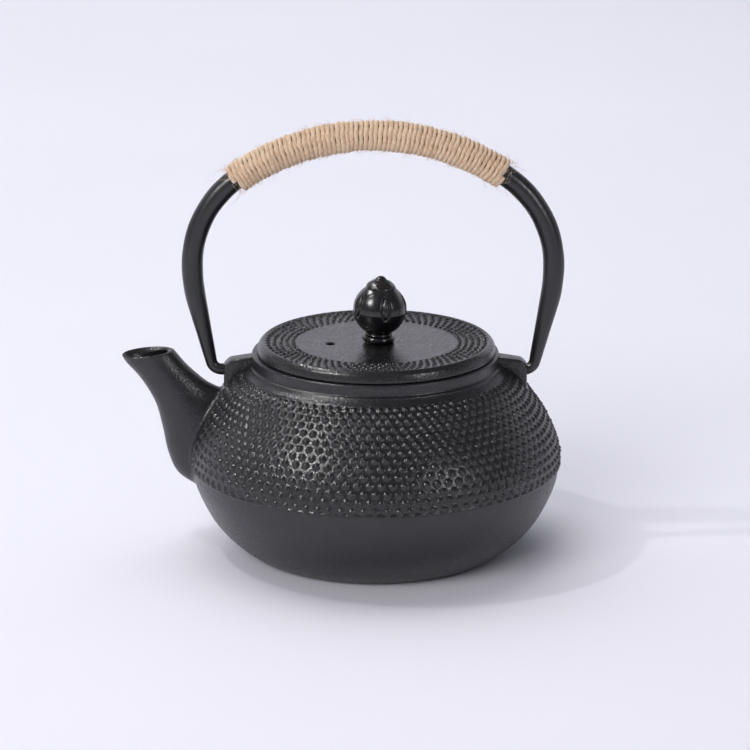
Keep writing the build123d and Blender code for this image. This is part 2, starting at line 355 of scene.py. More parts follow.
def dots_height(s, radius, angle, count, rows, keys):
    """Height of a field of small domes over the ground between them, which lies GROUND below 0."""
    best = np.full(np.broadcast(s, angle).shape, 9.0)
    depth = np.ones_like(best)
    row_of = np.interp(s, rows, np.arange(len(rows)), left=-1, right=len(rows))
    for step in (-1, 0, 1):
        k = np.clip(np.round(row_of) + step, 0, len(rows) - 1).astype(int)
        pitch = TAU / count
        offset = np.where(k % 2 == 0, 0.0, 0.5)
        m = np.round(angle / pitch - offset)
        wobble = hash_noise(k, np.mod(m, count), keys)
        wobble2 = hash_noise(np.mod(m, count), k, keys + 3)
        du = (angle - (m + offset) * pitch) * radius - (wobble - 0.5) * 0.28
        dv = s - np.asarray(rows)[k] - (wobble2 - 0.5) * 0.24
        wide = pitch * radius
        reach = 0.5 * np.minimum(wide, np.hypot(wide / 2, rows[1] - rows[0] + 0.2))
        far = np.hypot(du, dv) / reach
        depth = np.where(far < best, 0.78 + 0.4 * hash_noise(k, np.mod(m, count), keys + 7), depth)
        best = np.minimum(best, far)
    return depth * (1 - soft_step(0.06, 0.86, best)) - GROUND


def hobnail_band():
    """The dotted band as an upper and a lower half, so that neither mesh is too heavy."""
    count = DOTS_ROUND * CELLS_PER_DOT
    angle = turns(count)
    lip = [(74.97, 36.42), (74.82, 36.16), (74.5, 36.03), (73.9, 36.05)]
    line = np.vstack([band, lip])
    out = normals_2d(line)
    s = length_along(line)[:, None]
    edge = s[len(band) - 1, 0]
    radius, z = line[:, :1], line[:, 1:2]
    share = np.linspace(0, 1, DOT_ROWS)
    rows = FIRST_ROW + (LAST_ROW - FIRST_ROW) * (0.93 * share + 0.07 * share * share)
    height = dots_height(s, radius, angle[None, :], DOTS_ROUND, rows, 1)
    x, y = radius * np.cos(angle), radius * np.sin(angle)
    zz = z + 0 * angle
    keep = soft_step(0.5, 1.6, s) * (1 - soft_step(edge - 0.7, edge - 0.1, s))
    keep = keep * soft_step(FILLET + 0.1, FILLET + 1.2, gap_to_junction(x, y, zz))
    lug = np.maximum(np.abs(y) - LUG_THICK / 2, radius - LUG_OUT)
    keep = keep * soft_step(0.2, 1.2, lug)
    worn = 0.88 + 0.14 * np.sin(angle * 3 + 1.0 + 0.08 * s) * np.sin(0.11 * s + 2 * angle)
    bead = 0.26 * np.exp(-(((s - edge + 0.35) / 0.40) ** 2))
    wavy = 1 + 0.5 * np.sin(61 * angle + 2 * np.sin(23 * angle)) * np.sin(17 * angle)
    push = DOT_DEPTH * height * keep * worn + bead * wavy
    reach = radius + out[:, :1] * push
    points = np.stack([reach * np.cos(angle), reach * np.sin(angle), zz + out[:, 1:2] * push], axis=-1)
    buried = (inside_junction(y, zz, 1.6) & (x < 0)).reshape(-1)
    half = len(line) // 2
    pieces = []
    for name, first, last in (("hobnail_upper", 0, half + 1), ("hobnail_lower", half, len(line))):
        part = points[first:last].reshape(-1, 3)
        hidden = buried[first * count:last * count]
        faces = [f for f in grid_faces(last - first, count, True, True) if not hidden[list(f)].all()]
        pieces.append(new_object(name, part, faces))
    return pieces


def pot_shell():
    """Neck, smooth lower bowl, lining and spout."""
    pile = Pile()
    neck = ([(LEDGE_R, 79.9), (LEDGE_R, 81.7)] + arc((LEDGE_R + 0.35, 81.75), 0.35, 180, 90, 4)
            + arc((NECK_R - 0.6, RIM_Z - 0.6), 0.6, 90, 0, 5)
            + [(NECK_R, 80.0), (NECK_R + 0.02, 78.3), (NECK_R + 0.08, 77.75), (NECK_R + 0.3, 77.5),
               (NECK_R + 0.75, 77.42), (NECK_R + 0.98, 77.25), (NECK_R + 1.1, 76.9), (51.15, 76.35),
               (51.7, 75.85), (52.6, 75.25), (53.2, 74.9)])
    pile.add_spin(neck, 360, True)
    pile.add_spin([*bowl, (30.0, 0.0), (0.01, 0.0)], 256, True)
    skin = np.vstack([band, bowl[bowl[:, 1] < 35.5]])
    inner = skin - normals_2d(skin) * WALL
    inner = inner[(inner[:, 0] > MOUTH_R + 0.6) & (inner[:, 1] > WALL + 0.15)][::3]
    lining = [(LEDGE_R, 79.9), (LEDGE_R, LEDGE_Z), (43.5, LEDGE_Z), (MOUTH_R, LEDGE_Z - 0.3), (MOUTH_R, 76.4),
              (43.9, 75.6), *[tuple(p) for p in inner], (40.0, WALL), (0.01, WALL)]
    points = spin(lining, 160)
    buried = inside_junction(points[:, 1], points[:, 2], 2.6) & (points[:, 0] < 0)
    faces = [f for f in grid_faces(len(lining), 160) if not buried[list(f)].all()]
    pile.add(points, faces)
    outside = spout_with_fillet()
    pile.add_grid(outside, len(outside), SPOUT_SIDES)
    spout_mouth(pile)
    return pile.build("pot_casting")


def bored_lug(side):
    """One lug: a bevelled slab standing on the shoulder, bored for the bail's hook."""
    outline = [(47.2, 76.0), (47.2, 80.7), (48.6, 80.7), (58.6, 79.25), (61.0, 77.0), (61.0, 68.1),
               (59.8, 66.6), (54.0, 72.6)]
    half = LUG_THICK / 2
    points = [(x, y, z) for y in (-half, half) for x, z in outline]
    n = len(outline)
    faces = [tuple(range(n)), tuple(range(2 * n - 1, n - 1, -1))]
    faces += [(k, k + n, (k + 1) % n + n, (k + 1) % n) for k in range(n)]
    slab = new_object("lug_slab", points, faces, False)
    mesh = bmesh.new()
    mesh.from_mesh(slab.data)
    bmesh.ops.recalc_face_normals(mesh, faces=mesh.faces)
    corner = [e for e in mesh.edges if max(v.co.x for v in e.verts) > 0.052]
    bmesh.ops.bevel(mesh, geom=corner, offset=0.9 * MM, segments=4, profile=0.5, affect="EDGES")
    bmesh.ops.triangulate(mesh, faces=mesh.faces)
    bmesh.ops.subdivide_edges(mesh, edges=[e for e in mesh.edges if e.calc_length() > 3 * MM], cuts=1)
    mesh.to_mesh(slab.data)
    mesh.free()
    sides = DRILL_SIDES
    tool = np.vstack([spin([(HOLE_R, 0), (HOLE_R, DRILL_LONG)], sides), (0, 0, 0), (0, 0, DRILL_LONG)])
    faces = grid_faces(2, sides)
    faces += [(k, (k + 1) % sides, 2 * sides) for k in range(sides)]
    faces += [(sides + (k + 1) % sides, sides + k, 2 * sides + 1) for k in range(sides)]
    tool = np.column_stack([HOLE_DEEP + tool[:, 2], tool[:, 0], PIVOT_Z + tool[:, 1]])
    drill = new_object("lug_drill", tool, faces, False)
    cut = slab.modifiers.new("bore", "BOOLEAN")
    cut.operation = "DIFFERENCE"
    cut.object = drill
    cut.solver = "EXACT"
    graph = bpy.context.evaluated_depsgraph_get()
    result = bpy.data.meshes.new_from_object(slab.evaluated_get(graph))
    points = np.array([v.co[:] for v in result.vertices]) / MM
    faces = [tuple(p.vertices) for p in result.polygons]
    for helper in (slab, drill):
        bpy.data.objects.remove(helper)
    if side < 0:
        points[:, :2] *= -1
    return points, faces


def pot_lugs():
    """Both lugs as one piece, flat faces kept crisp."""
    pile = Pile()
    for side in (-1, 1):
        pile.add(*bored_lug(side))
    lugs = pile.build("pot_lugs")
    lugs.data.set_sharp_from_angle(angle=math.radians(40))
    return lugs


# ---- lid and knob ----
LID_Z, LID_TOP, RIM_R = 82.2, 86.2, 47.6
PLATEAU_R = 31.9
SKIRT_R, SKIRT_Z = 39.5, 77.6
VENT_AT, VENT_R = np.array([-18.4, -3.5]), 1.75
STUD_R = 2.55
VENT_CHAMFER = 0.22
VENT_SIDES, STUD_SIDES = 36, 40
LID_DOTS = 74
LID_ROWS = [33.6, 36.1, 38.6, 41.1, 43.6]


def ring(radius, count, centre=(0.0, 0.0)):
    """Points (x, y) of a level circle."""
    turn = turns(count)
    return np.stack([centre[0] + radius * np.cos(turn), centre[1] + radius * np.sin(turn)], axis=1)


def pierced_disc(radius, sides, z, ripple):
    """Flat disc between a rim ring and the stud and vent holes, with a slightly rippled face."""
    rings = [ring(radius, sides), ring(STUD_R, STUD_SIDES), ring(VENT_R, VENT_SIDES, VENT_AT),
             ring(VENT_R + 0.35, VENT_SIDES, VENT_AT)]
    step = 1.15
    rows = np.arange(-radius, radius, step * 0.866)
    inner = []
    for i, y in enumerate(rows):
        xs = np.arange(-radius, radius, step) + (i % 2) * step / 2
        inner += [(x, y) for x in xs if math.hypot(x, y) < radius - 0.8 and math.hypot(x, y) > STUD_R + 0.6
                  and math.hypot(x - VENT_AT[0], y - VENT_AT[1]) > VENT_R + 0.9]
    points = np.vstack([*rings, inner])
    edges = []
    start = 0
    for count in (sides, STUD_SIDES, VENT_SIDES):
        edges += [(start + k, start + (k + 1) % count) for k in range(count)]
        start += count
    flat, _, faces, *_ = delaunay_2d_cdt([Vector(p) for p in points], edges, [], 0, 1e-6)
    flat = np.array([v[:] for v in flat])
    kept = []
    for face in faces:
        x, y = flat[list(face)].mean(axis=0)
        if math.hypot(x, y) < STUD_R or math.hypot(x - VENT_AT[0], y - VENT_AT[1]) < VENT_R:
            continue
        kept.append(tuple(face))
    reach = np.hypot(flat[:, 0], flat[:, 1])
    low = soft_step(0.3, 2.0, radius - reach) * ripple
    height = z + low * (np.sin(flat[:, 0] * 1.7 + 2 * np.sin(flat[:, 1] * 0.9)) * np.sin(flat[:, 1] * 1.9))
    vent = np.hypot(flat[:, 0] - VENT_AT[0], flat[:, 1] - VENT_AT[1])
    height = height - np.sign(ripple) * VENT_CHAMFER * (vent < VENT_R + 0.05)
    return np.column_stack([flat, height]), kept


def cast_lid():
    """Plate with dotted field, edge bead, two holes and the skirt underneath."""
    pile = Pile()
    columns = LID_DOTS * 12
    angle = turns(columns)
    field = [(r, LID_TOP - 0.03 + 0.62 * (max(r - 39.5, 0) / 5.3) ** 2)
             for r in np.arange(PLATEAU_R, 44.8, 0.36)]
    bead = [(45.1, 86.95), (45.5, 87.06), (45.9, 86.98), (46.35, 86.68), (46.8, 86.25), (47.15, 85.85),
            (47.4, 85.45), (47.55, 85.0), (47.7, 84.3), (47.85, 83.5), (47.98, 82.7), (47.9, 82.35),
            (RIM_R, LID_Z)]
    line = np.array([(PLATEAU_R - 0.5, LID_TOP)] + field + bead)
    s, z = line[:, :1], line[:, 1:2]
    height = dots_height(s, s, angle[None, :], LID_DOTS, LID_ROWS, 11)
    keep = soft_step(PLATEAU_R, PLATEAU_R + 0.7, s) * (1 - soft_step(44.4, 45.1, s))
    zz = z + (0.72 * (height + GROUND) - 0.06) * keep
    top = np.stack([s * np.cos(angle), s * np.sin(angle), zz], axis=-1)
    pile.add_grid(top, len(line), columns, True, True)
    disc, faces = pierced_disc(PLATEAU_R - 0.5, columns, LID_TOP, 0.018)
    pile.add(disc, faces)
    under = LID_Z + 0.4
    rim = [(RIM_R, LID_Z), (45.0, LID_Z), (SKIRT_R + 0.4, LID_Z), (SKIRT_R, LID_Z - 0.4),
           (SKIRT_R, SKIRT_Z + 0.4), (SKIRT_R - 0.4, SKIRT_Z), (SKIRT_R - 2.1, SKIRT_Z),
           (SKIRT_R - 2.5, SKIRT_Z + 0.4), (SKIRT_R - 2.5, under - 0.5), (SKIRT_R - 3.0, under)]
    pile.add_spin(rim, 240, True)
    disc, faces = pierced_disc(SKIRT_R - 3.0, 240, under, -0.02)
    pile.add(disc, [f[::-1] for f in faces])
    for centre, radius, count, chamfer in ((VENT_AT, VENT_R, VENT_SIDES, VENT_CHAMFER),
                                           (np.zeros(2), STUD_R, STUD_SIDES, 0.0)):
        wall = ring(radius, count, centre)
        high, low = LID_TOP - chamfer, under + chamfer
        levels = (high, high - 0.1, under + 0.1, low)
        rows = np.stack([np.column_stack([wall, np.full(count, level)]) for level in levels])
        pile.add_grid(rows, 4, count, True, False)
    return pile.build("lid_casting")


BALL_R, BALL_Z = 10.65, 99.8
LID_SHIFT = 0.4         # the lid lies a little to the right in its play, with its knob leaning that way
KNOB_SHIFT = 0.75
KNOB_LEAN = math.radians(2.4)
LEAVES, LEAF_TURN = 5, math.radians(-76)
COLLAR_LOW, COLLAR_HIGH, COLLAR_SIDES = 86.24, 89.46, 120
BORE_R = 2.56


def leaf_height(u, v):
    """Carved almond leaf, u across and v along, millimetres from its middle."""
    half_long = 5.1
    half_wide = 1.75 * np.clip(1 - (v / half_long) ** 2, 0, 1) ** 0.9
    edge = np.abs(u) - half_wide
    inside = (np.abs(v) < half_long) * soft_step(0.3, -0.1, edge)
    groove = np.exp(-((edge / 0.30) ** 2)) * (np.abs(v) < half_long + 0.2)
    core_wide = 0.85 * np.clip(1 - (v / 4.2) ** 2, 0, 1) ** 0.7
    core = soft_step(0.25, -0.35, np.abs(u) - core_wide) * (np.abs(v) < 4.2)
    vein = np.exp(-((u / 0.20) ** 2)) * (np.abs(v) < 3.2)
    return -0.62 * groove - 0.10 * inside + 0.34 * core - 0.30 * vein


def settle(obj, shift, lean=0.0):
    """Moves a piece of the lid sideways and leans it about the top face of the lid."""
    points = np.array([v.co[:] for v in obj.data.vertices]) / MM
    high = points[:, 2] - LID_TOP
    x = points[:, 0] * math.cos(lean) + high * math.sin(lean) + shift
    z = LID_TOP + high * math.cos(lean) - points[:, 0] * math.sin(lean)
    moved = np.column_stack([x, points[:, 1], z]) * MM
    obj.data.vertices.foreach_set("co", moved.ravel())
    obj.data.update()
    return obj


def knob_ball():
    """Ball with five carved leaves, its foot and the hole for the stud."""
    columns = 260
    angle = turns(columns)
    low, high = math.asin(-9.24 / BALL_R), math.asin(9.15 / BALL_R)
    tilt = np.linspace(low, high, 104)[:, None]
    radius = np.full((len(tilt), columns), BALL_R)
    for k in range(LEAVES):
        turn = np.mod(angle - LEAF_TURN - k * TAU / LEAVES + math.pi, TAU) - math.pi
        radius = radius + leaf_height(turn[None, :] * BALL_R * np.cos(tilt), tilt * BALL_R - 2.6)
    parting = np.exp(-(((tilt * BALL_R + 0.6) / 0.35) ** 2))
    radius = radius + 0.05 * parting
    ball = np.stack([radius * np.cos(tilt) * np.cos(angle), radius * np.cos(tilt) * np.sin(angle),
                     BALL_Z + radius * np.sin(tilt)], axis=-1)
    pile = Pile()
    pile.add_grid(ball, len(tilt), columns)
    foot = [(5.3, 90.62), (5.15, 90.2), (5.15, 89.7), (5.5, 89.51), (STUD_R, 89.51), (STUD_R, 97.4),
            (0.01, 97.5)]
    pile.add_spin(foot, columns, True)
    return pile.build("knob_casting")


def knob_cap():
    """Lobed calyx and finial on the top of the knob."""
    columns = 200
    angle = turns(columns)
    petal = np.abs(np.cos(LEAVES / 2 * (angle - LEAF_TURN)))
    rows = []
    # radius, height and how deep the lobes are
    profile = [(5.3, 108.2, 0.2), (5.75, 108.55, 0.5), (6.0, 109.1, 0.6), (5.85, 109.7, 0.6),
               (5.3, 110.4, 0.55), (4.6, 110.9, 0.45), (3.9, 111.35, 0.35), (3.3, 111.65, 0.3),
               (2.8, 111.85, 0.2), (2.45, 112.05, 0.1), (2.2, 112.35, 0.0), (1.9, 112.7, 0.0),
               (1.5, 113.05, 0.0), (0.95, 113.35, 0.0), (0.4, 113.48, 0.0), (0.01, 113.5, 0.0)]
    for r, z, lobed in smooth_line(profile, 3):
        lobed = max(lobed, 0.0)
        wave = (petal ** 0.6 - 0.75) * lobed
        drop = -0.9 * (petal ** 0.5 - 0.6) * soft_step(3.0, 6.0, r)
        rows.append(np.stack([(r + wave) * np.cos(angle), (r + wave) * np.sin(angle), z + drop], axis=-1))
    pile = Pile()
    pile.add_grid(np.array(rows), len(rows), columns)
    return pile.build("knob_cap")


def collar_ring():
    """Rounded ring between the lid and the knob, slightly worn."""
    outline = ([(BORE_R, COLLAR_LOW), (4.9, COLLAR_LOW), (5.5, COLLAR_LOW + 0.06)]
               + arc((5.05, 87.9), 1.55, -75, 78, 14) + [(5.0, COLLAR_HIGH), (BORE_R, COLLAR_HIGH)])
    points = spin(outline, COLLAR_SIDES)
    turn = np.arctan2(points[:, 1], points[:, 0])
    reach = np.hypot(points[:, 0], points[:, 1])
    worn = 1 + 0.012 * np.sin(3 * turn + 0.5) * (reach > 5.2)
    points[:, :2] *= worn[:, None]
    return new_object("knob_ring", points, grid_faces(len(outline), COLLAR_SIDES))


# ---- bail and its twine wrap ----
TOP_ARC_R, TOP_Z, GRIP_HALF = 93.0, 171.0, 53.5
LEG_X, LEG_ARC_R, LEG_LEAN = 72.3, 69.0, math.radians(12.5)
HOOK_BEND_R, HOOK_TIP = 4.2, 52.4
ROD_R = 4.35
BAIL_SHIFT = -0.95      # the bail sits a little to the left in its play
GRIP_TURN = math.asin(GRIP_HALF / TOP_ARC_R)


def bail_line():
    """Right half's centreline from mid grip to hook tip, (x, z), and where its straight leg ends."""
    grip_z = TOP_Z - TOP_ARC_R * (1 - math.cos(GRIP_TURN))
    corner = (LEG_X - GRIP_HALF) / (1 - math.sin(GRIP_TURN))
    top_z = grip_z - corner * math.cos(GRIP_TURN)
    low = (LEG_X - LEG_ARC_R * (1 - math.cos(LEG_LEAN)), top_z - LEG_ARC_R * math.sin(LEG_LEAN))
    knee = low[0] - (low[1] - PIVOT_Z) * math.tan(LEG_LEAN)
    run = HOOK_BEND_R * math.tan((math.pi / 2 - LEG_LEAN) / 2)
    bend_top = (knee + run * math.sin(LEG_LEAN), PIVOT_Z + run * math.cos(LEG_LEAN))
    centre = (knee - run, PIVOT_Z + HOOK_BEND_R)
    turn = math.degrees(GRIP_TURN)
    line = arc((0, TOP_Z - TOP_ARC_R), TOP_ARC_R, 90, 90 - turn, 40)
    line += arc((LEG_X - corner, top_z), corner, 90 - turn, 0, 30)[1:]
    line += arc((LEG_X - LEG_ARC_R, top_z), LEG_ARC_R, 0, -math.degrees(LEG_LEAN), 12)[1:]
    line += [(low[0] + (bend_top[0] - low[0]) * t, low[1] + (bend_top[1] - low[1]) * t)
             for t in np.linspace(0, 1, 14)[1:]]
    straight_end = len(line)
    line += arc(centre, HOOK_BEND_R, -math.degrees(LEG_LEAN), -90, 10)[1:]
    line += [(knee - run + (HOOK_TIP - knee + run) * t, PIVOT_Z) for t in np.linspace(0, 1, 6)[1:]]
    return np.array(line), straight_end


def bail_iron():
    """The whole rod, tapering to the hooks, with faint hammer marks."""
    half, straight_end = bail_line()
    length = length_along(half)
    grip_end = TOP_ARC_R * GRIP_TURN
    u = np.clip((length - grip_end) / (length[straight_end - 1] - grip_end), 0, 1)
    radius = np.interp(u, [0, 0.50, 0.64, 0.75, 0.90, 1.0], [ROD_R, 4.25, 4.18, 3.65, 2.87, HOOK_R])
    line = np.vstack([half[:0:-1] * (-1, 1), half])
    radius = np.concatenate([radius[:0:-1], radius])
    side = normals_2d(line)
    sides = 40
    turn = turns(sides)
    hammer = 1 + 0.010 * np.sin(0.55 * np.arange(len(line)))[:, None] * np.cos(2 * turn)[None, :]
    reach = radius[:, None] * hammer
    rings = np.stack([BAIL_SHIFT + line[:, :1] + side[:, :1] * reach * np.cos(turn), reach * np.sin(turn),
                      line[:, 1:2] + side[:, 1:2] * reach * np.cos(turn)], axis=-1)
    pile = Pile()
    pile.add_grid(rings, len(line), sides, True, True)
    for end, inward in ((0, -1), (-1, 1)):
        centre = np.array([BAIL_SHIFT + line[end][0], 0, line[end][1]])
        tip = np.stack([rings[end], centre + (rings[end] - centre) * 0.02])
        pile.add_grid(tip, 2, sides, True, inward < 0)
    return pile.build("bail_iron")


TWINE_TURNS = 61
STRAND_R = 1.0
WRAP_FROM, WRAP_TO = -math.asin(55.8 / TOP_ARC_R), math.asin(52.9 / TOP_ARC_R)


def grip_point(t, reach, turn):
    """Point at a fraction along the grip, at a distance from the rod's axis and an angle round it."""
    lean = WRAP_FROM + t * (WRAP_TO - WRAP_FROM)
    out = reach * np.cos(turn)
    return np.stack([BAIL_SHIFT + (TOP_ARC_R + out) * np.sin(lean), reach * np.sin(turn),
                     TOP_Z - TOP_ARC_R + (TOP_ARC_R + out) * np.cos(lean)], axis=-1)


def twine_wrap():
    """Two-ply jute twine wound tightly round the grip, one ridge to a turn."""
    per_turn = 30
    count = TWINE_TURNS * per_turn + 1
    t = np.linspace(0.012, 0.988, count)
    turn = t * TWINE_TURNS / 0.976 * TAU
    whole, part = np.floor(turn / TAU), np.mod(turn / TAU, 1)
    drift = hash_noise(whole, 3) * (1 - part) + hash_noise(whole + 1, 3) * part
    swell = 0.22 * np.exp(-(((np.abs(2 * t - 1) - 0.62) / 0.16) ** 2)) + 0.08 * np.sin(t * 23)
    ends = 0.30 * (soft_step(0.93, 1.0, np.abs(2 * t - 1)))
    reach = ROD_R + 0.92 + swell - ends + (drift - 0.5) * 0.28
    t = t + (drift - 0.5) * 0.0032
    axis = grip_point(t, reach, turn)
    run = unit_rows(np.gradient(axis, axis=0))
    out = unit_rows(axis - grip_point(t, np.zeros(count), turn))
    across = np.cross(run, out)
    sides = 10
    ring_turn = turns(sides)
    twist = turn * 3.0
    lump = 1 + 0.16 * np.cos(2 * (ring_turn[None, :] - twist[:, None])) + 0.10 * (drift[:, None] - 0.5)
    fuzz = 0.07 * (hash_noise(np.arange(count)[:, None], np.arange(sides)[None, :]) - 0.5)
    wide = STRAND_R * (0.97 + 0.08 * np.sin(turn * 1.37))[:, None] * lump + fuzz
    rings = (axis[:, None] + across[:, None] * (wide * np.cos(ring_turn))[..., None]
             + out[:, None] * (0.98 * wide * np.sin(ring_turn))[..., None])
    pile = Pile()
    pile.add_grid(rings, count, sides, True, False)
    for end, flip in ((0, True), (-1, False)):
        cap = np.stack([rings[end], axis[end] + (rings[end] - axis[end]) * 0.05])
        pile.add_grid(cap, 2, sides, True, flip)
    return pile.build("twine_wrap")


def twine_fibres():
    """Loose hairs that stand off the twine, most of them short and flat."""
    pile = Pile()
    for k in range(620):
        t0 = rng.uniform(0.0, 1.0)
        if k < 60:
            t0 = rng.choice([rng.uniform(-0.004, 0.012), rng.uniform(0.985, 1.004)])
        turn0 = rng.uniform(0, TAU)
        length = rng.uniform(1.5, 6.5) if k % 4 else rng.uniform(5, 11)
        lift = rng.uniform(0.15, 1.1) if k % 5 else rng.uniform(0.9, 2.2)
        heading = rng.normal(0, 0.6) + (math.pi if rng.random() < 0.5 else 0)
        points = []
        for s in np.linspace(0, 1, 6):
            round_by = length * s * math.cos(heading) / 6.3
            along = length * s * math.sin(heading) / (2 * TOP_ARC_R * GRIP_TURN)
            rise = lift * math.sin(math.pi * min(1.0, s * rng.uniform(0.5, 0.95)))
            points.append(grip_point(t0 + along, ROD_R + 1.85 + rise, turn0 + round_by))
        points = np.array(points)
        run = unit_rows(np.gradient(points, axis=0))
        side = unit_rows(np.cross(run, (0.31, 0.47, 0.83)))
        other = np.cross(run, side)
        thin = rng.uniform(0.035, 0.07) * np.array([1, 1, 1, 0.9, 0.7, 0.3])
        corners = [side * math.cos(a) + other * math.sin(a) for a in (0, TAU / 3, 2 * TAU / 3)]
        rings = np.stack([points + c * thin[:, None] for c in corners], axis=1)
        pile.add_grid(rings, 6, 3)
    return pile.build("twine_fibres")


# ---- infuser ----
SLEEVE_R, SHEET, INFUSER_FLOOR = 40.6, 0.6, 32.0
FLANGE_Z, FLANGE_R = 79.85, 45.5
RING_LOW, FIT = 72.0, 0.04
HOLE_SIDES, PUNCH_R = 8, 0.62


def pierced_cells(pile, cells, place, flip):
    """Sheet of cells (u, v, width, height), each with one hole; place(u, v, depth) puts it in space."""
    turn = turns(HOLE_SIDES)
    square = 0.5 / np.maximum(np.abs(np.cos(turn)), np.abs(np.sin(turn)))
    faces = []
    for k in range(HOLE_SIDES):
        m = (k + 1) % HOLE_SIDES
        for a, b in ((0, 1), (3, 2), (1, 3)):
            a, b = a * HOLE_SIDES, b * HOLE_SIDES
            quad = (a + k, a + m, b + m, b + k)
            faces.append(quad[::-1] if flip else quad)
    for u, v, width, height in cells:
        edge = (u + width * square * np.cos(turn), v + height * square * np.sin(turn))
        inner = (u + PUNCH_R * np.cos(turn), v + PUNCH_R * np.sin(turn))
        points = [place(*loop, depth) for depth in (0.0, SHEET) for loop in (edge, inner)]
        pile.add(np.concatenate(points), faces)


def infuser_sleeve():
    """Perforated cylinder between two plain edges."""
    pile = Pile()
    around, up = 104, 14
    low, high = 37.5, 71.0
    width, height = TAU * SLEEVE_R / around, (high - low) / up
    cells = [((j + 0.5 * (i % 2)) * width, low + (i + 0.5) * height, width, height)
             for i in range(up) for j in range(around)]

    def place(u, v, depth):
        reach = SLEEVE_R - depth
        return np.stack([reach * np.cos(u / SLEEVE_R), reach * np.sin(u / SLEEVE_R), v], axis=1)

    pierced_cells(pile, cells, place, True)
    for bottom, top in ((INFUSER_FLOOR + SHEET + FIT, low), (high, FLANGE_Z - FIT)):
        outline = [(SLEEVE_R - SHEET, top), (SLEEVE_R, top), (SLEEVE_R, bottom), (SLEEVE_R - SHEET, bottom),
                   (SLEEVE_R - SHEET, top)]
        pile.add_spin(outline, 2 * around, True)
    return pile.build("infuser_sleeve")


def infuser_floor():
    """Round base with rings of holes, plain in the middle and at the edge."""
    pile = Pile()
    top = INFUSER_FLOOR + 2 * SHEET + FIT
    pitch, first, hole_rings = 2.6, 3.9, 12
    for i in range(hole_rings):
        middle = first + (i + 0.5) * pitch
        count = round(TAU * middle / pitch)
        width = TAU * middle / count
        cells = [(j * width, middle, width, pitch) for j in range(count)]

        def place(u, v, depth, middle=middle):
            turn = u / middle
            return np.stack([v * np.cos(turn), v * np.sin(turn), np.full_like(u, top - depth)], axis=1)

        pierced_cells(pile, cells, place, False)
    low = top - SHEET
    last = first + hole_rings * pitch
    edge = SLEEVE_R - SHEET - FIT
    pile.add_spin([(0.01, low), (first, low), (first, top), (0.01, top)], 72, False)
    pile.add_spin([(last, low), (edge - 0.1, low), (edge, low + 0.1), (edge, top - 0.1), (edge - 0.1, top),
                   (last, top)], 160, False)
    return pile.build("infuser_floor")


def infuser_rings():
    """Rolled flange with its gripping ring, and the band round the foot of the sleeve."""
    inner, outer = SLEEVE_R + FIT, SLEEVE_R + FIT + SHEET
    top = FLANGE_Z + SHEET
    bore = SLEEVE_R - SHEET
    flange = [(bore + 0.2, FLANGE_Z), (inner, FLANGE_Z), (inner, RING_LOW + 0.1), (inner + 0.1, RING_LOW),
              (outer - 0.1, RING_LOW), (outer, RING_LOW + 0.1), (outer, FLANGE_Z - 0.5),
              (outer + 0.2, FLANGE_Z - 0.15), (outer + 0.5, FLANGE_Z), (FLANGE_R - 0.2, FLANGE_Z),
              (FLANGE_R, FLANGE_Z + 0.2), (FLANGE_R, top - 0.2), (FLANGE_R - 0.2, top), (outer, top),
              (SLEEVE_R - 0.1, top), (SLEEVE_R - 0.45, top - 0.15), (bore, top - 0.45),
              (bore + 0.2, FLANGE_Z)]
    rim = Pile()
    rim.add_spin(flange, 200, False)
    floor = INFUSER_FLOOR
    high = floor + 4
    foot = [(bore - 2, floor + SHEET), (bore - 2, floor), (outer - 0.6, floor),
            (outer - 0.17, floor + 0.17), (outer, floor + 0.6), (outer, high - 0.1), (outer - 0.1, high),
            (inner + 0.1, high), (inner, high - 0.1), (inner, floor + SHEET), (bore - 2, floor + SHEET)]
    hoop = Pile()
    hoop.add_spin(foot, 200, False)
    return rim.build("infuser_flange"), hoop.build("infuser_foot")


